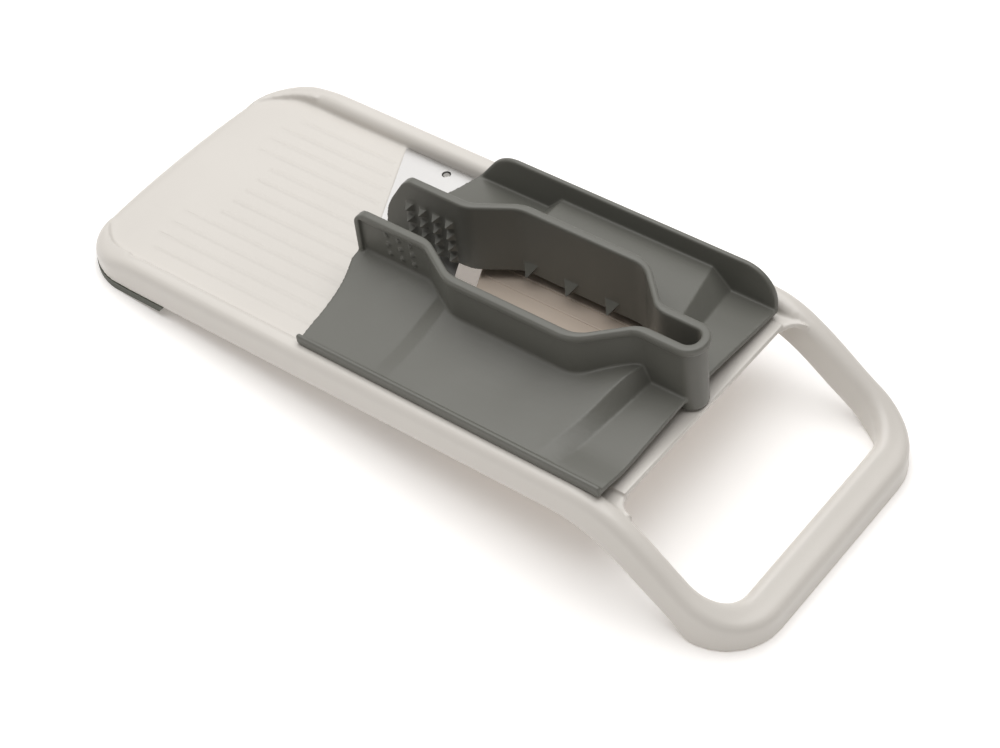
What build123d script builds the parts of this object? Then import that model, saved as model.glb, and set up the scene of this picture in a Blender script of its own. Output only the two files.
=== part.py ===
"""Hand-held mandoline slicer: a one-piece frame with a skewed blade, and a sliding food grip.

Everything is laid out along the frame (x from toe to handle, y across, z = 0 at the underside of
the side rails) and then leaned back by LEAN so that the toe foot and the handle stand on z = 0.
"""
import os
from math import cos, radians, sin, tan

from build123d import *

os.makedirs("parts", exist_ok=True)

# ---- overall ----
WIDTH = 130.0               # across the rails
TOE_X = -38.5               # front of the toe, on the centre line
END_X = 288.0               # end of the handle
TOE_R = 300.0               # slow curve of the toe in plan
TOE_CORNER = 24.0
END_CORNER = 25.0
LEAN = 6.63                 # slope of the deck when the slicer lies on a table, degrees
STAND = 4.5                 # lift that puts the underside on z = 0

# ---- frame section ----
RAIL_H = 13.5
RAIL_FULL = 6.0             # where the rails, rising from the toe, reach their full height
RAIL_IN = 56.0              # half width between the rails
DECK_Z = 7.5
WALL = 2.4
BRIDGE_A, BRIDGE_B = 214.0, 230.0
BRIDGE_T = 2.4              # the bridge is a thin sheet
OPEN_END = 274.0            # handle side of the hand opening
TRAY_CORNER = 28.0          # corners of the tray at the toe
CORNER_R = 7.0              # corners of the opening beside the bridge
CREST_R = 4.0               # rounding of the rails and of the handle
BRIDGE_Z = 9.0
STRIP_LOW = 5.0             # underside of the deck strips where they end beside the bridge

# ---- blade, set across the deck on a skew ----
SKEW = 25.9                 # degrees from square
BLADE_BACK_X = 69.0         # back edge, on the centre line
BLADE_W = 37.2              # back edge to cutting edge
BLADE_T = 1.2
THROAT = 9.5                # open gap in front of the cutting edge, along x
BLADE_SEAT = 30.0           # how far the frame reaches forward under the blade, along x
PIN_AT = (66.7, 51.3)       # far pin; the near one mirrors it along the skew
PIN_R = 1.7

# ---- feed ramp, one slice lower than the deck ----
SLICE = 3.0
RAMP_HALF = 50.4
RAMP_T = 2.0
RAMP_LEAD = 198.0           # where the lead-in from the bridge ends

# ---- ridges that stop wet food from sticking ----
RIDGE_PITCH = 7.53
RIDGE_W = 1.2
RIDGE_H = 0.35

# ---- food grip ----
GRIP_X0, GRIP_X1 = 84.0, 226.0
SLOT_X0, FAR_SLOT_X0 = 77.5, 70.5     # toe ends of the near and the far slot wall
RIM_Z = 42.5
RIM_OUT = 1.6               # how far the bead along the pocket's top stands out
FOOT_Z = 10.2               # lower edge of the pocket walls
SHELL = 2.3
NEAR_EDGE, FAR_EDGE = -60.3, 54.2
FLANGE_Z = 30.5
RUNNER_Z = 7.6              # the grip glides on the deck strips beside the rails
CREASE_X = 120.0
CREASE_RUN = 7.0
STEP_TOP = (196.0, 207.0)   # where the step down starts, at the outer edge and at the pocket wall
STEP_LOW = (205.0, 210.5)   # where it ends

# ---- toe foot ----
FOOT_DROP = 3.2
FOOT_W = 5.0
FOOT_END = 15.0


def slope_at(x):
    """Height of the table under the frame, in the frame's own axes."""
    return (-STAND - x * sin(radians(LEAN))) / cos(radians(LEAN))


def outline(inset=0.0):
    """Plan of the whole frame: a gently bowed toe, straight sides, round handle corners."""
    half = WIDTH / 2 - inset
    end = END_X - inset
    radius = TOE_R - inset
    box = Pos((end - 80) / 2, 0) * Rectangle(end + 80, 2 * half)
    bow = Pos(TOE_X + inset + radius, 0) * Circle(radius)
    shape = box & bow
    toe = shape.vertices().filter_by(lambda v: v.X < 0)
    shape = fillet(toe, TOE_CORNER - inset)
    tip = shape.vertices().filter_by(lambda v: v.X > end - 1)
    return fillet(tip, END_CORNER - inset)


def crest_edges(drop=0.0):
    """Top line of the rails seen from the side, toe to handle."""
    def at(x, z):
        return (x, z - drop)
    toe = Spline(at(-60, -20), at(TOE_X, 5.4), at(-35, 7.6), at(-27, 9.1), at(-17, 10.9),
                 at(-6, 12.8), at(RAIL_FULL, RAIL_H), tangents=[(1, 2.2), (1, 0)])
    flat = Line(at(RAIL_FULL, RAIL_H), at(212, RAIL_H))
    bend = Spline(at(212, RAIL_H), at(228, 11.3), at(240, 4.9), at(252, -4.4), at(264, -14.2),
                  at(276, -22.2), at(296, -29.5), tangents=[(1, 0), (1, -0.3)])
    return [toe, flat, bend]


def side_face(edges, floor=-80.0):
    """Closed face between a top line and a level far below it, standing in the XZ plane."""
    start, end = edges[0] @ 0, edges[-1] @ 1
    edges = edges + [Polyline((end.X, end.Y), (end.X, floor), (start.X, floor), (start.X, start.Y))]
    return make_face(Curve() + edges)


def across(face, half=80.0):
    """Extrude a face of the XZ plane to both sides."""
    return extrude(Plane.XZ * face, half, both=True)


def prism(sketch, low, high):
    return Pos(0, 0, low) * extrude(sketch, high - low)


def underside():
    """Everything below the frame: flat along the rails, rising under the handle bend, and cut
    level with the table at the end of the handle."""
    toe = Polyline((-60, 2.2), (-5, 0), (205, 0))
    bend = Spline((205, 0), (221, -2.8), (231, -7.6), (240, -14.2), (249, -21.4), (258, -28.6),
                  (266, slope_at(266)), tangents=[(1, 0), (1, -0.5)])
    tail = Line((266, slope_at(266)), (300, slope_at(300)))
    return [toe, bend, tail]


def opening(inset=0.0):
    """Plan of the hand opening, as wide as the space between the rails."""
    a, b, half = BRIDGE_B + inset, OPEN_END - inset, RAIL_IN - inset
    shape = Pos((a + b) / 2, 0) * Rectangle(b - a, 2 * half)
    far = shape.vertices().filter_by(lambda v: v.X > b - 1)
    return fillet(far, 15)


def deck_edges(drop=0.0):
    roll = Spline((-60, -16 - drop), (TOE_X, 4.8 - drop), (-35, 6.3 - drop), (-27, 7.0 - drop),
                  (-12, DECK_Z - drop), tangents=[(1, 2.0), (1, 0)])
    return [roll, Line((-12, DECK_Z - drop), (BRIDGE_A, DECK_Z - drop))]


def box(x0, x1, y0, y1, z0, z1):
    return Pos((x0 + x1) / 2, (y0 + y1) / 2, (z0 + z1) / 2) * Box(x1 - x0, y1 - y0, z1 - z0)


def skew_x(at_centre, y):
    """X of a line parallel to the blade that crosses the centre line at the given x."""
    return at_centre - y * tan(radians(SKEW))


def skew_band(a, b, half):
    """Plan of a band between two lines parallel to the blade. b may be a plain x for a square end."""
    corners = [(skew_x(a, -half), -half), (skew_x(a, half), half)]
    if isinstance(b, tuple):
        corners += [(b[0], half), (b[0], -half)]
    else:
        corners += [(skew_x(b, half), half), (skew_x(b, -half), -half)]
    return make_face(Polyline(*corners, close=True))


BLADE_EDGE_X = BLADE_BACK_X + BLADE_W / cos(radians(SKEW))
RAMP_X = BLADE_EDGE_X + THROAT
RAMP_Z = DECK_Z - SLICE
PINS = [PIN_AT, (PIN_AT[0] + 2 * PIN_AT[1] * tan(radians(SKEW)), -PIN_AT[1])]


def make_ridge(x0, x1, y, z):
    bar = box(x0, x1, y - RIDGE_W / 2, y + RIDGE_W / 2, z - 0.3, z + RIDGE_H)
    top = bar.edges().group_by(Axis.Z)[-1].filter_by(Axis.X)
    return fillet(top, 0.3)


def toe_tray():
    """Plan of the tray's toe end: round corners that run out at the front edge."""
    front = TOE_X + 0.3
    tray = Pos(front / 2, 0) * Rectangle(-front, 2 * RAIL_IN)
    tray = fillet(tray.vertices().filter_by(lambda v: v.X < front + 1), TRAY_CORNER)
    half = RAIL_IN - TRAY_CORNER - 1
    return tray + Pos(-50, 0) * Rectangle(40, 2 * half)


def gusset(side):
    """Round corner where the bridge meets a rail, seen through the hand opening."""
    x, y = BRIDGE_B, side * RAIL_IN
    plan = make_face(Polyline((x - 0.5, y + side * 0.5), (x + CORNER_R, y + side * 0.5),
                              (x + CORNER_R, y - side * CORNER_R), (x - 0.5, y - side * CORNER_R),
                              close=True))
    plan -= Pos(x + CORNER_R, y - side * CORNER_R) * Circle(CORNER_R)
    return Pos(0, 0, STRIP_LOW) * extrude(plan, DECK_Z - 0.1 - STRIP_LOW)


def make_frame():
    body = prism(outline(), -60, 40) & across(side_face(crest_edges()))
    body -= across(side_face(underside()))

    # flat part of the tray between the rails, the bridge and the hand opening, in one width
    body -= box(-8, BRIDGE_A, -RAIL_IN, RAIL_IN, DECK_Z, 40)
    body -= box(BRIDGE_A - 1, BRIDGE_B + 1, -RAIL_IN, RAIL_IN, BRIDGE_Z, 40)
    for side in (-1, 1):
        y0, y1 = sorted((side * RAMP_HALF, side * RAIL_IN))
        body -= box(BRIDGE_A - 1, BRIDGE_B + 1, y0, y1, DECK_Z, 40)
    body -= prism(opening(), -60, 40)

    # round the crest on both sides, all the way round the handle
    for y in (WIDTH / 2, RAIL_IN):
        crest = [body.edges().sort_by_distance((100, side * y, RAIL_H))[0] for side in (-1, 1)]
        body = fillet(crest, CREST_R)

    # the tray runs out over the toe, and the rails fade into it round the corners
    tray_floor = across(side_face(deck_edges(), -60), RAIL_IN)
    body -= prism(toe_tray(), -60, 40) - tray_floor

    # hollow underside
    body -= prism(outline(WALL) & Pos(95, 0) * Rectangle(236, 200), -60, DECK_Z - WALL)
    for side in (-1, 1):
        y0, y1 = sorted((side * (RAIL_IN + WALL), side * (WIDTH / 2 - WALL)))
        body -= box(-5, 213, y0, y1, -5, RAIL_H - 2.8)
    groove = outline(2.6) & Pos(260, 0) * Rectangle(2 * (260 - 222), 200)
    groove -= opening(-2.6)
    groove -= Pos(200, 0) * Rectangle(2 * (BRIDGE_B + 4 - 200), 2 * (RAIL_IN + 2.6))
    body -= prism(groove, -60, 40) & across(side_face(crest_edges(5.5)))
    body -= box(BRIDGE_A + 3, BRIDGE_B + 1, -RAMP_HALF, RAMP_HALF, -60, BRIDGE_Z - BRIDGE_T)
    body -= box(BRIDGE_A + 3, BRIDGE_B + 1, -RAIL_IN, RAIL_IN, -60, STRIP_LOW)
    for side in (-1, 1):
        body += gusset(side)

    # seat of the blade, throat and window over the ramp
    body -= prism(skew_band(BLADE_BACK_X, BLADE_EDGE_X + 0.2, RAIL_IN), DECK_Z - BLADE_T, 20)
    body -= prism(skew_band(BLADE_BACK_X + BLADE_SEAT, (BRIDGE_A,), RAMP_HALF + 0.1), -60, 20)
    for x, y in PINS:
        body += Pos(x, y, DECK_Z - BLADE_T - 1.6) * Cylinder(4.2, 3.2)
        body -= Pos(x, y, 4) * Cylinder(PIN_R, 8)

    # ledges that carry the ramp
    for side in (-1, 1):
        inner, outer = side * (RAMP_HALF - 3.5), side * (RAMP_HALF + 0.1 + WALL)
        wall_in = side * (RAMP_HALF + 0.1)
        x0 = skew_x(BLADE_BACK_X + BLADE_SEAT, inner) + 6
        low = RAMP_Z - RAMP_T
        body += box(x0, BRIDGE_A + 1, *sorted((inner, outer)), low - 2.0, low)
        body += box(x0, BRIDGE_A + 1, *sorted((wall_in, outer)), low - 2.0, DECK_Z - WALL)
    body += box(BRIDGE_A - 4, BRIDGE_A + 1, -RAMP_HALF, RAMP_HALF, RAMP_Z - RAMP_T - 2, RAMP_Z - RAMP_T)

    for k in range(-6, 7):
        y = k * RIDGE_PITCH
        start = {6: -6.6}.get(abs(k), -14.0 if abs(k) > 2 else 2.5)
        start = max(start, -11.5)
        body += make_ridge(start, skew_x(BLADE_BACK_X, y) - 2.5, y, DECK_Z)
    return body


def make_ramp():
    low = RAMP_Z - RAMP_T
    plate = prism(skew_band(RAMP_X, (BRIDGE_A - 0.2,), RAMP_HALF), low, RAMP_Z)
    lead = make_face(Polyline((RAMP_LEAD, RAMP_Z - 1), (RAMP_LEAD, RAMP_Z), (BRIDGE_A - 0.2, DECK_Z),
                              (BRIDGE_A - 0.2, RAMP_Z - 1), close=True))
    plate += across(lead, RAMP_HALF)
    nose = plate.edges().filter_by(lambda e: abs(e.center().X - RAMP_X) < 2 and e.center().Z > low + 1)
    plate = fillet(nose, 0.8)
    for k in range(-6, 7):
        y = k * RIDGE_PITCH
        plate += make_ridge(skew_x(RAMP_X, y) + 3.0, RAMP_LEAD - 2, y, RAMP_Z)
    return plate


def make_blade():
    blank = prism(skew_band(BLADE_BACK_X + 0.1, BLADE_EDGE_X, RAIL_IN - 0.15), DECK_Z - BLADE_T, DECK_Z)
    # the cutting edge is ground from below, leaving the top face flat
    bevel = make_face(Polyline((-4.5, 0), (0.01, 0), (0.01, BLADE_T - 0.12), close=True))
    wedge = extrude(Plane.XZ * bevel, 90, both=True)
    blank -= Pos(BLADE_EDGE_X, 0, DECK_Z - BLADE_T) * Rot(0, 0, SKEW) * wedge
    for x, y in PINS:
        blank -= Pos(x, y, DECK_Z) * Cylinder(PIN_R + 0.25, 6)
    return blank


def make_pin(x, y):
    pin = Pos(x, y, DECK_Z - 0.3 - 2.1) * Cylinder(PIN_R, 4.2)
    return fillet(pin.edges().group_by(Axis.Z)[-1], 0.5)


def make_foot():
    """Rubber strip under the edge of the toe, wrapped round both corners."""
    ring = outline(-0.3) - outline(FOOT_W)
    ring &= Pos(FOOT_END - 100, 0) * Rectangle(200, 200)
    top = [Polyline((-60, 2.2), (-5, 0), (40, 0))]
    low = [Polyline((-60, slope_at(-60)), (-13, slope_at(-13)), (FOOT_END - 3, -FOOT_DROP - 0.1),
                    (FOOT_END, 0.2), (40, 0.2))]
    return (prism(ring, -20, 20) & across(side_face(top, -20))) - across(side_face(low, -20))


# Top surface of the grip's plates, from the outer edge in to the pocket walls, as (y, z)
NEAR_PLATE = {
    "toe": [(60.3, 16.2), (55.5, 16.2), (46, 16.4), (36, 17.8), (27, 19.7), (20, 21.4), (11.5, 23.2)],
    "mid": [(60.3, 16.2), (55.5, 16.9), (46, 17.6), (36, 19.0), (28, 21.0), (21.5, 23.0), (5.5, 23.8)],
    "back": [(60.3, 16.2), (55.5, 16.0), (46, 14.7), (36, 15.0), (20, 16.2), (5.5, 17.0)],
}
FAR_PLATE = {
    "toe": [(53.2, 14.2), (46, 15.2), (36, 17.1), (27, 19.4), (20, 21.4), (11.5, 23.2)],
    "mid": [(53.2, 21.6), (46, 21.8), (36, 22.2), (28, 22.7), (21.5, 23.2), (5.5, 24.0)],
    "back": [(53.2, 13.2), (46, 13.7), (36, 14.5), (20, 16.2), (5.5, 17.0)],
}


def plate_line(part, side, drop=0.0):
    """Section line of one part of a plate; the far plate ends at the flange."""
    heights = (NEAR_PLATE if side < 0 else FAR_PLATE)[part]
    return Spline(*[(side * y, z - drop) for y, z in heights])


def plate_band(part, side, x0, x1):
    """A thin curved band, drawn out along x."""
    upper, lower = plate_line(part, side), plate_line(part, side, SHELL)
    ends = [Line(upper @ 0, lower @ 0), Line(upper @ 1, lower @ 1)]
    face = make_face(Curve() + [upper, lower] + ends)
    return Pos(x0, 0, 0) * extrude(Plane.YZ * face, x1 - x0)


def pocket_plan(grow=0.0):
    """Plan of the pocket: open slot at the toe end, wide middle, narrow closed nose."""
    slot, mid, nose, tip = 11.5 + grow, 22.0 + grow, 5.5 + grow, 229.0 + grow
    half = [(60, slot), (113, slot), (131, mid), (189, mid), (206, nose), (tip, nose)]
    points = half + [(x, -y) for x, y in reversed(half)]
    face = make_face(Polyline(*points, close=True))

    def corners(x0, x1):
        return face.vertices().filter_by(lambda v: x0 < v.X < x1)
    face = fillet(corners(112, 114), 12 - grow)
    face = fillet(corners(130, 132), 14 + grow)
    face = fillet(corners(188, 190), 13 + grow)
    face = fillet(corners(205, 207), 9 - grow)
    face = fillet(corners(tip - 1, tip + 1), nose - 0.4)
    return face


def skewed(edge_x, wall_x, side):
    """Upright plane across one plate, through one x at the outer edge and another at the wall."""
    across_plate = Vector(wall_x - edge_x, -side * 50, 0)
    normal = across_plate.cross(Vector(0, 0, side))
    return Plane(origin=(wall_x, side * 10, 0), x_dir=across_plate, z_dir=normal)


def behind(line, side):
    """Everything on the handle side of a skewed line, on one plate."""
    edge_x, wall_x = line
    slope = (wall_x - edge_x) / 50
    at_edge, at_middle = edge_x - 20 * slope, wall_x + 10 * slope
    plan = make_face(Polyline((at_edge, side * 80), (at_middle, 0), (400, 0), (400, side * 80), close=True))
    return prism(plan, -60, 60)


def toe_side():
    """Plan of what lies before the plates: they reach farther toward the toe as they near the slot."""
    half = Spline((86, 61), (83.3, 46), (82, 34), (80.3, 26), (77.6, 18.5), (75.5, 8))
    line = [half, Line((75.5, 8), (75.5, -8)), mirror(half, Plane.XZ)]
    back = Polyline((86, 61), (50, 61), (50, -61), (86, -61))
    return make_face(Curve() + line + [back])


def make_plates():
    plates = None
    for side in (-1, 1):
        toe = plate_band("toe", side, 70, CREASE_X)
        mid = plate_band("mid", side, CREASE_X + CREASE_RUN, 215)
        back = plate_band("back", side, 195, GRIP_X1)
        crease = loft([toe.faces().sort_by(Axis.X)[-1], mid.faces().sort_by(Axis.X)[0]])
        toe -= prism(toe_side(), -60, 60)
        cuts = [section(mid, section_by=skewed(*STEP_TOP, side)).faces()[0],
                section(back, section_by=skewed(*STEP_LOW, side)).faces()[0]]
        step = loft(cuts)
        pieces = [toe, crease, mid - behind(STEP_TOP, side), step, back & behind(STEP_LOW, side)]
        pocket = prism(pocket_plan(0), -60, 60)
        both = None
        for piece in pieces:
            piece = piece - pocket
            both = piece if both is None else both + piece
        plates = both if plates is None else plates + both
    return plates


def make_flange():
    """Upright guard along the far side; its lower edge is one of the two runners."""
    side = make_face(Polyline((84, RUNNER_Z), (81.5, 10.5), (97, FLANGE_Z), (GRIP_X1, FLANGE_Z),
                              (GRIP_X1, 12), (223, RUNNER_Z), close=True))
    side = fillet(side.vertices().filter_by(lambda v: v.Y > FLANGE_Z - 1 and v.X < 100), 16)
    side = fillet(side.vertices().filter_by(lambda v: v.Y > FLANGE_Z - 1 and v.X > 220), 14)
    plate = Pos(0, FAR_EDGE, 0) * extrude(Plane.XZ * side, SHELL)
    rim = plate.edges().filter_by(lambda e: e.center().Z > RUNNER_Z + 1 and e.length > 3)
    return fillet(rim, 0.9)


def pyramid(width, height, tip=0.4):
    """Small spike standing on the XY plane."""
    return loft([Rectangle(width, width).face(), (Pos(0, 0, height) * Rectangle(tip, tip)).face()])


def make_teeth():
    """Spikes inside the slot, grip bumps on its outer face, and claws under the middle of the pocket."""
    teeth = []
    inner, outer = 11.5 - SHELL / 2, 11.5 + SHELL / 2
    for column in range(4):
        for row in range(4):
            x, z = 84.8 + 6.6 * column, 30.0 - 5.8 * row
            teeth.append(Pos(x, inner + 0.2, z) * Rot(90, 0, 0) * pyramid(4.0, 3.2))
    for column in range(3):
        for row in range(3):
            x, z = 92.9 + 5.9 * column + 0.3 * row, 36.5 - 4.6 * row
            teeth.append(Pos(x, -outer + 0.3, z) * Sphere(1.1))
    face = 22.0 - SHELL / 2
    for x in (134.5, 153.8, 173.1):
        for side in (-1, 1):
            base = Plane.XZ * make_face(Polyline((-3.6, 4.6), (3.6, 4.6), (0, -1.8), close=True))
            tip = Plane.XZ * make_face(Polyline((-0.3, -0.2), (0.3, -0.2), (0, -0.7), close=True))
            claw = loft([base.face(), (Pos(0, -4.2, 0) * tip).face()])
            turn = Rot(0, 0, 0) if side > 0 else Rot(0, 0, 180)
            teeth.append(Pos(x, side * (face + 0.3), 11.9) * turn * claw)
    return teeth


def slot_ends():
    """What comes off the toe ends of the slot walls: the near one is upright, the far one leans
    forward toward its foot."""
    near = [Line((SLOT_X0, -5), (SLOT_X0, 36)), Spline((SLOT_X0, 36), (79.4, 40.6), (85, 42.8),
                                                       tangents=[(0, 1), (1, 0.1)])]
    far = [Line((FAR_SLOT_X0, -5), (FAR_SLOT_X0, 13)),
           Spline((FAR_SLOT_X0, 13), (73.6, 27), (79.5, 36.5), (88, 42.8), tangents=[(0, 1), (1, 0.1)])]
    cuts = None
    for side, line in ((1, near), (-1, far)):
        start, end = line[0] @ 0, line[1] @ 1
        line = line + [Polyline((end.X, end.Y), (end.X, 60), (40, 60), (40, -5), (start.X, -5))]
        cut = extrude(Plane.XZ * make_face(Curve() + line), side * 25)
        cuts = cut if cuts is None else cuts + cut
    return cuts


def make_grip():
    half = SHELL / 2
    from_slot = Pos(FAR_SLOT_X0 + 100, 0) * Rectangle(200, 200)
    wall_plan = (pocket_plan(half) - pocket_plan(-half)) & from_slot
    rim_plan = pocket_plan(half + RIM_OUT) - pocket_plan(-half)
    walls = prism(wall_plan, FOOT_Z, RIM_Z - 1)
    rim = prism(rim_plan, RIM_Z - 3.2, RIM_Z)
    crown = rim.edges().group_by(Axis.Z)[-1].filter_by(lambda e: e.center().X > 61)
    rim = fillet(crown, 1.1) & box(FAR_SLOT_X0, 300, -60, 60, 0, 60)

    grip = make_plates()
    grip += walls
    grip += rim
    lip = sorted((-(11.5 - half), -(11.5 + half + RIM_OUT)))
    grip += box(SLOT_X0, SLOT_X0 + 2.6, *lip, FOOT_Z, RIM_Z - 1)
    grip -= slot_ends()

    grip += fillet(box(GRIP_X0, GRIP_X1, NEAR_EDGE, NEAR_EDGE + 2.2, 13.7, 17.9).edges(), 0.9)
    grip += box(GRIP_X0 + 6, 219, NEAR_EDGE + 6.1, NEAR_EDGE + 8.3, RUNNER_Z, 14.5)
    grip += make_flange()
    for tooth in make_teeth():
        grip += tooth
    return grip


PIECES = {
    "frame": make_frame(),
    "ramp_plate": make_ramp(),
    "blade": make_blade(),
    "blade_pin_far": make_pin(*PINS[0]),
    "blade_pin_near": make_pin(*PINS[1]),
    "toe_foot": make_foot(),
    "food_grip": make_grip(),
}

# lean the slicer so that toe foot and handle stand on z = 0, and centre it on the origin
lean = Pos(0, 0, STAND) * Rot(0, -LEAN, 0)
low_x = (lean * PIECES["toe_foot"]).bounding_box().min.X
high_x = (lean * PIECES["frame"]).bounding_box().max.X
stand = Pos(-(low_x + high_x) / 2, 0, 0) * lean
for node, piece in PIECES.items():
    export_step(stand * piece, f"parts/{node}.step")
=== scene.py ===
"""Looks for a hand-held mandoline slicer with a sliding food grip, standing on a white floor."""
from math import cos, pi, radians, sin, tan

import bpy
import bmesh
from mathutils import Matrix, Vector


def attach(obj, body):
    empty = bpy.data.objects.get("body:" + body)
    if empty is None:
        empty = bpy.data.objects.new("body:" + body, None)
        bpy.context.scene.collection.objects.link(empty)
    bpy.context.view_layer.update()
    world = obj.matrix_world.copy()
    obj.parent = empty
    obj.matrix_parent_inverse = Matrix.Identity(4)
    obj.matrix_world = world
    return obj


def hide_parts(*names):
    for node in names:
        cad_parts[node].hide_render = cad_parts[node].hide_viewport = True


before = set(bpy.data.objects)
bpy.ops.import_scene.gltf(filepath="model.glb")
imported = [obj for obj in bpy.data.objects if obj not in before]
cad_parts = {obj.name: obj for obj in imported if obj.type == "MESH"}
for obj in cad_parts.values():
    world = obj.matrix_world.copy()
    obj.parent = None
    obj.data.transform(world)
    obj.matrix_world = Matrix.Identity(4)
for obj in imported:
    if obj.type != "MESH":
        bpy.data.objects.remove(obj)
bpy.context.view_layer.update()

# ---- the slicer's own axes (x toe to handle, y across, z up from the rails), in millimetres ----
MM = 1000                      # millimetres in a metre
LEAN = radians(6.63)
SHIFT_X = -125.8827
STAND = 4.5
LEANED = Matrix(((cos(LEAN), 0, -sin(LEAN), SHIFT_X / MM), (0, 1, 0, 0),
                 (sin(LEAN), 0, cos(LEAN), STAND / MM), (0, 0, 0, 1)))

# ---- camera, in the frame's metres ----
CAMERA_AT = (0.38092, -0.48371, 0.70951)
CAMERA_AZIMUTH, CAMERA_ELEVATION = radians(37.72), radians(49.63)
CAMERA_LENS, CAMERA_SENSOR = 86.12, 36.0

# ---- plastics: colour clouds (scale, detail), their two shades, gloss (scale, lowest and highest
#      roughness), and grain (scale, detail, strength) ----
PLASTICS = {
    "frame_plastic": dict(cloud=(9, 4), shades=((207, 203, 197), (212, 208, 202)),
                          gloss=(22, 0.26, 0.38), grain=(260, 3, 0.04)),
    "grip_plastic": dict(cloud=(12, 4), shades=((97, 97, 91), (102, 102, 96)),
                         gloss=(40, 0.34, 0.52), grain=(900, 3, 0.12)),
    # the ramp's shades are darker and browner than the frame's plastic: painted shade, standing in for
    # the shade it lies in under the grip's pocket
    "ramp_plastic": dict(cloud=(14, 3), shades=((192, 178, 164), (198, 185, 172)),
                         gloss=(30, 0.32, 0.48), grain=(700, 2, 0.06)),
    "foot_rubber": dict(cloud=(25, 4), shades=((88, 90, 82), (98, 100, 92)),
                        gloss=(120, 0.58, 0.78), grain=(1200, 3, 0.2)),
}
CLOUD_RANGE = (0.3, 0.7)       # the part of the noise that the colour clouds spread over
GRAIN_DEPTH = 0.0002
STEEL_DEPTH = 0.0001

# ---- moulded copies ----
WELD = 1e-6
EASE = 0.5
FRAME_VOXEL, FRAME_ROUNDS = 0.0006, 3
GRIP_VOXEL, GRIP_ROUNDS = 0.00045, 4
TOE_ROUNDS = 30
TOE_END, TOE_FADE = 2, 14      # the extra easing of the toe ends at this x, and fades over this length
TOE_LOW = 2.5                  # it leaves alone what lies lower than this

# ---- teeth in the slot: a grid of pyramids on the far wall ----
SQUARE = ((-1, -1), (1, -1), (1, 1), (-1, 1))
TEETH_SIDE = 4                 # teeth in a row and in a column
TEETH_X, TEETH_Z = 84.8, 30.0
TEETH_PITCH_X, TEETH_PITCH_Z = 6.6, 5.8
TEETH_ROOT_Y, TEETH_TIP_Y = 10.5, 7.3
TEETH_ROOT, TEETH_TIP = 2, 0.2

# ---- claws under the pocket walls ----
CLAWS_X = (134.5, 153.8, 173.1)
CLAW_Z = 11.9
CLAW_ROOT_Y, CLAW_TIP_Y = 21.1, 16.9
CLAW_ROOT = ((-3.6, 4.6), (3.6, 4.6), (0, -1.8))
CLAW_TIP = ((-0.3, -0.2), (0.3, -0.2), (0, -0.7))

# ---- finger bumps on the near wall: a slanting grid of low domes ----
BUMPS_SIDE = 3
BUMPS_X, BUMPS_Y, BUMPS_Z = 92.9, -12.4, 36.5
BUMPS_PITCH_X, BUMPS_PITCH_Z, BUMPS_SLANT = 5.9, 4.6, 0.3
BUMP_R = 1.15
BUMP_RINGS, BUMP_POINTS = 5, 16
BUMP_TILT = 4.4                # rings to a quarter turn, so the last one is still a small cap

# ---- drainage ridges of the deck and the feed ramp ----
RIDGES_EACH_SIDE = 6
RIDGE_PITCH = 7.53
RIDGE_HALF = 0.62
RIDGE_OUTLINE = ((-1, 0), (-0.8, 0.7), (-0.35, 1), (0.35, 1), (0.8, 0.7), (1, 0))
DECK_RIDGE_Z, DECK_RIDGE_H = 7.42, 0.38
RAMP_RIDGE_Z, RAMP_RIDGE_H = 4.45, 0.42
RAMP_RIDGE_END = 196.0
SEAM_X, SEAM_SKEW = 69.0, radians(25.9)   # the blade's back seam, on the middle line
SEAM_GAP = 2.5                 # the deck's ridges stop this far before the seam
SEAM_TO_RAMP = 53.9            # the ramp's ridges start this far behind it


def make_camera():
    data = bpy.data.cameras.new("camera")
    data.sensor_width = CAMERA_SENSOR
    data.lens = CAMERA_LENS
    data.clip_start, data.clip_end = 0.05, 20
    camera = bpy.data.objects.new("camera", data)
    bpy.context.collection.objects.link(camera)
    back = Vector((sin(CAMERA_AZIMUTH) * cos(CAMERA_ELEVATION),
                   -cos(CAMERA_AZIMUTH) * cos(CAMERA_ELEVATION), sin(CAMERA_ELEVATION)))
    camera.rotation_mode = "QUATERNION"
    camera.rotation_quaternion = (-back).to_track_quat("-Z", "Y")
    camera.location = CAMERA_AT
    bpy.context.scene.camera = camera


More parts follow.
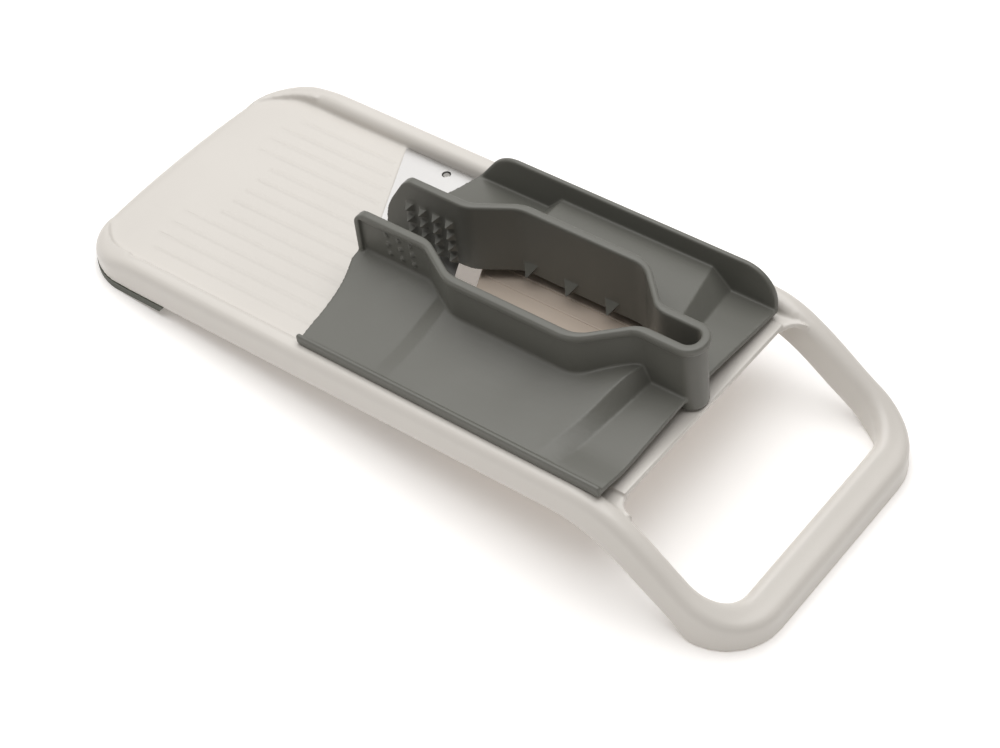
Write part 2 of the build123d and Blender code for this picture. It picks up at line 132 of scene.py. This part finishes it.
# ---- materials ----
class Nodes:
    """Shorthand for building one node material."""

    def __init__(self, name):
        self.material = bpy.data.materials.new(name)
        self.material.use_nodes = True
        self.tree = self.material.node_tree
        self.tree.nodes.clear()
        out = self.tree.nodes.new("ShaderNodeOutputMaterial")
        self.shader = self.tree.nodes.new("ShaderNodeBsdfPrincipled")
        self.tree.links.new(self.shader.outputs[0], out.inputs[0])

    def add(self, kind, inputs):
        node = self.tree.nodes.new(kind)
        for key, value in inputs.items():
            self.put(node.inputs[key], value)
        return node

    def put(self, socket, value):
        """Links a socket to another node's output, or gives it a plain value."""
        if hasattr(value, "is_output"):
            self.tree.links.new(value, socket)
        else:
            socket.default_value = value

    def set(self, **values):
        """Sets the shader's own sockets, named with _ for a space."""
        for key, value in values.items():
            self.put(self.shader.inputs[key.replace("_", " ")], value)

    def noise(self, scale, detail=3.0, rough=0.55, stretch=(1, 1, 1)):
        where = self.tree.nodes.new("ShaderNodeTexCoord").outputs["Object"]
        moved = self.add("ShaderNodeMapping", {"Vector": where, "Scale": stretch})
        made = self.add("ShaderNodeTexNoise", {"Vector": moved.outputs[0], "Scale": scale,
                                               "Detail": detail, "Roughness": rough})
        return made.outputs["Fac"]

    def remap(self, value, low, high, start=0, end=1):
        """Spreads start to end over low to high."""
        node = self.add("ShaderNodeMapRange", {"Value": value, "From Min": start, "From Max": end,
                                               "To Min": low, "To Max": high})
        return node.outputs[0]

    def mix(self, factor, one, two):
        node = self.tree.nodes.new("ShaderNodeMix")
        node.data_type = "RGBA"
        for key, value in (("Factor", factor), ("A", one), ("B", two)):
            self.put(node.inputs[key], value)
        return node.outputs["Result"]

    def bump(self, height, strength, distance):
        node = self.add("ShaderNodeBump", {"Height": height, "Strength": strength,
                                           "Distance": distance})
        return node.outputs[0]


def srgb(r, g, b):
    """A colour given as 0 to 255 sRGB numbers, as the linear colour that shaders take."""
    def linear(v):
        v = v / 255
        return v / 12.92 if v <= 0.04045 else ((v + 0.055) / 1.055) ** 2.4
    return (linear(r), linear(g), linear(b), 1.0)


def plastic(name):
    """Moulded plastic or rubber: faintly cloudy colour, uneven gloss and a fine grain."""
    made = PLASTICS[name]
    m = Nodes(name)
    one, two = (srgb(*shade) for shade in made["shades"])
    gloss, low, high = made["gloss"]
    grain, detail, strength = made["grain"]
    m.set(Base_Color=m.mix(m.remap(m.noise(*made["cloud"]), 0, 1, *CLOUD_RANGE), one, two),
          Roughness=m.remap(m.noise(gloss, 3), low, high),
          Normal=m.bump(m.noise(grain, detail), strength, GRAIN_DEPTH))
    return m.material


def steel(name, colour, marks, low, high, strength):
    """Bare steel, with machining marks in its gloss and its surface."""
    m = Nodes(name)
    lines = m.noise(*marks)
    m.set(Base_Color=srgb(*colour), Metallic=1.0, Roughness=m.remap(lines, low, high),
          Normal=m.bump(lines, strength, STEEL_DEPTH))
    return m.material


def dress(node, material):
    """Gives a CAD node its material."""
    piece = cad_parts[node]
    for holder in piece.material_slots:
        holder.material = material
    if not piece.material_slots:
        piece.data.materials.append(material)


# ---- moulded copies: the same shapes with every edge and inner corner eased ----
def apply_modifiers(piece):
    """Bakes a piece's modifiers into its mesh."""
    graph = bpy.context.evaluated_depsgraph_get()
    made = bpy.data.meshes.new_from_object(piece.evaluated_get(graph))
    piece.modifiers.clear()
    piece.data = made


def moulded(node, body, material, voxel, rounds):
    """A finer copy of a CAD node, remeshed level with the slicer and then smoothed a little."""
    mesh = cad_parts[node].data.copy()
    mesh.transform(LEANED.inverted())
    shape = bmesh.new()
    shape.from_mesh(mesh)
    bmesh.ops.remove_doubles(shape, verts=shape.verts, dist=WELD)
    shape.to_mesh(mesh)
    shape.free()
    piece = bpy.data.objects.new(node + "_moulded", mesh)
    bpy.context.collection.objects.link(piece)
    remesh = piece.modifiers.new("remesh", "REMESH")
    remesh.mode = "VOXEL"
    remesh.voxel_size = voxel
    ease = piece.modifiers.new("ease", "SMOOTH")
    ease.factor, ease.iterations = EASE, rounds
    apply_modifiers(piece)
    piece.data.shade_smooth()
    piece.data.materials.clear()
    piece.data.materials.append(material)
    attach(piece, body)
    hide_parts(node)
    return piece


def ease_more(piece, rounds, weight):
    """Smooths part of a moulded piece further: weight(point in millimetres) says how much."""
    group = piece.vertex_groups.new(name="more")
    for vertex in piece.data.vertices:
        much = weight(vertex.co * MM)
        if much > 0:
            group.add([vertex.index], much, "REPLACE")
    ease = piece.modifiers.new("more", "SMOOTH")
    ease.factor, ease.iterations, ease.vertex_group = EASE, rounds, group.name
    apply_modifiers(piece)
    piece.vertex_groups.clear()


def toe_weight(point):
    """Full at the toe, fading out towards the deck's flat."""
    if point.z <= TOE_LOW:
        return 0.0
    return min(1.0, max(0.0, (TOE_END - point.x) / TOE_FADE))


def lean_back(piece):
    """Sets a piece made level with the slicer back to the slicer's lean."""
    piece.data.transform(LEANED)


# ---- small details, finer than the moulded copies can hold ----
class Details:
    """Collects small crisp shapes, given level with the slicer in millimetres, in one piece."""

    def __init__(self, name, body, slot, material):
        self.shape = bmesh.new()
        self.name, self.body, self.slot, self.material = name, body, slot, material

    def loft(self, rings, smooth):
        """A closed skin through rings of points, capped at both ends."""
        made = [[self.shape.verts.new([v / MM for v in point]) for point in ring]
                for ring in rings]
        for one, two in zip(made, made[1:]):
            for i in range(len(one)):
                j = (i + 1) % len(one)
                self.shape.faces.new((one[i], one[j], two[j], two[i])).smooth = smooth
        self.shape.faces.new(made[-1])
        self.shape.faces.new(made[0][::-1])

    def finish(self):
        bmesh.ops.recalc_face_normals(self.shape, faces=self.shape.faces)
        mesh = bpy.data.meshes.new(self.name)
        self.shape.to_mesh(mesh)
        self.shape.free()
        mesh.transform(LEANED)
        mesh.materials.append(self.material)
        piece = bpy.data.objects.new(self.name, mesh)
        bpy.context.collection.objects.link(piece)
        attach(piece, self.body)


def outline(x, y, z, corners, size=1):
    """The corners, times size, set round (x, z) in the plane at y."""
    return [(x + a * size, y, z + b * size) for a, b in corners]


def make_teeth(material):
    """Sharp pyramids in the slot, claws under the pocket walls, and bumps on the near wall."""
    teeth = Details("grip_teeth", "grip", "grip_plastic", material)
    for column in range(TEETH_SIDE):
        for row in range(TEETH_SIDE):
            x, z = TEETH_X + TEETH_PITCH_X * column, TEETH_Z - TEETH_PITCH_Z * row
            teeth.loft([outline(x, TEETH_ROOT_Y, z, SQUARE, TEETH_ROOT),
                        outline(x, TEETH_TIP_Y, z, SQUARE, TEETH_TIP)], smooth=False)
    for x in CLAWS_X:
        for side in (-1, 1):
            teeth.loft([outline(x, side * CLAW_ROOT_Y, CLAW_Z, CLAW_ROOT),
                        outline(x, side * CLAW_TIP_Y, CLAW_Z, CLAW_TIP)], smooth=False)
    turn = [(cos(i * 2 * pi / BUMP_POINTS), sin(i * 2 * pi / BUMP_POINTS))
            for i in range(BUMP_POINTS)]
    for column in range(BUMPS_SIDE):
        for row in range(BUMPS_SIDE):
            x = BUMPS_X + BUMPS_PITCH_X * column + BUMPS_SLANT * row
            z = BUMPS_Z - BUMPS_PITCH_Z * row
            tilts = [k * pi / 2 / BUMP_TILT for k in range(BUMP_RINGS)]
            teeth.loft([outline(x, BUMPS_Y - BUMP_R * sin(tilt), z, turn, BUMP_R * cos(tilt))
                        for tilt in tilts], smooth=True)
    teeth.finish()


def make_ridge(details, start, end, y, z, height):
    """One thin drainage ridge, with a rounded top and tapered ends."""
    stations = ((start, 0.1), (start + 1, 0.8), (start + 2.5, 1),
                (end - 2.5, 1), (end - 1, 0.8), (end, 0.1))
    details.loft([[(x, y + a * RIDGE_HALF * swell, z + b * height * swell)
                   for a, b in RIDGE_OUTLINE] for x, swell in stations], smooth=True)


def deck_ridge_start(k):
    """The middle ridges start further back, and the outermost ones clear the tray's corners."""
    if abs(k) == RIDGES_EACH_SIDE:
        return -6.6
    return -11.5 if abs(k) > 2 else 2.5


def make_ridges(deck_material, ramp_material):
    """The thin drainage ridges of the deck and of the feed ramp."""
    deck = Details("deck_ridges", "slicer", "frame_plastic", deck_material)
    ramp = Details("ramp_ridges", "slicer", "ramp_plastic", ramp_material)
    for k in range(-RIDGES_EACH_SIDE, RIDGES_EACH_SIDE + 1):
        y = RIDGE_PITCH * k
        seam = SEAM_X - y * tan(SEAM_SKEW)
        make_ridge(deck, deck_ridge_start(k), seam - SEAM_GAP, y, DECK_RIDGE_Z, DECK_RIDGE_H)
        make_ridge(ramp, seam + SEAM_TO_RAMP, RAMP_RIDGE_END, y, RAMP_RIDGE_Z, RAMP_RIDGE_H)
    deck.finish()
    ramp.finish()


# ---- stage ----
def make_floor():
    bpy.ops.mesh.primitive_plane_add(size=6)
    floor = bpy.context.object
    floor.name = "floor"
    m = Nodes("floor_white")
    m.set(Base_Color=srgb(250, 250, 250), Roughness=0.9,
          Normal=m.bump(m.noise(300, 2), 0.02, GRAIN_DEPTH),
          Specular_IOR_Level=0.0, Emission_Color=srgb(255, 247, 240), Emission_Strength=0.19)
    floor.data.materials.append(m.material)


def area_light(name, at, size, power):
    """A rectangular light that faces the slicer."""
    data = bpy.data.lights.new(name, "AREA")
    data.shape = "RECTANGLE"
    data.size, data.size_y = size
    data.energy = power
    light = bpy.data.objects.new(name, data)
    bpy.context.collection.objects.link(light)
    light.location = at
    light.rotation_mode = "QUATERNION"
    light.rotation_quaternion = (-Vector(at)).to_track_quat("-Z", "Y")


def make_lights():
    """Even light from the sky, a large soft key overhead, and a weaker panel beyond the toe."""
    scene = bpy.context.scene
    scene.view_settings.view_transform = "Standard"
    world = bpy.data.worlds.new("world")
    scene.world = world
    world.use_nodes = True
    background = world.node_tree.nodes["Background"]
    background.inputs["Color"].default_value = srgb(255, 250, 245)
    background.inputs["Strength"].default_value = 0.30
    area_light("key", (-0.20, 0.12, 1.50), (1.8, 1.6), 24)
    area_light("panel", (-1.10, 1.00, 1.25), (1.4, 1.4), 6.5)


make_camera()
make_floor()
make_lights()

beige = plastic("frame_plastic")
frame_piece = moulded("frame", "slicer", beige, FRAME_VOXEL, FRAME_ROUNDS)
ease_more(frame_piece, TOE_ROUNDS, toe_weight)
lean_back(frame_piece)

dark = plastic("grip_plastic")
# the ramp's material carries painted shade: its colour is darkened and browned for the shade under the
# grip
ramp_plastic_with_painted_shade = plastic("ramp_plastic")
lean_back(moulded("food_grip", "grip", dark, GRIP_VOXEL, GRIP_ROUNDS))
make_teeth(dark)
make_ridges(beige, ramp_plastic_with_painted_shade)

dress("ramp_plate", ramp_plastic_with_painted_shade)
dress("toe_foot", plastic("foot_rubber"))
dress("blade", steel("blade_steel", (205, 204, 203), (90, 5, 0.6, (0.6, 12, 1)), 0.28, 0.44, 0.05))
pins = steel("pin_steel", (150, 148, 145), (400, 3), 0.18, 0.36, 0.1)
dress("blade_pin_far", pins)
dress("blade_pin_near", pins)
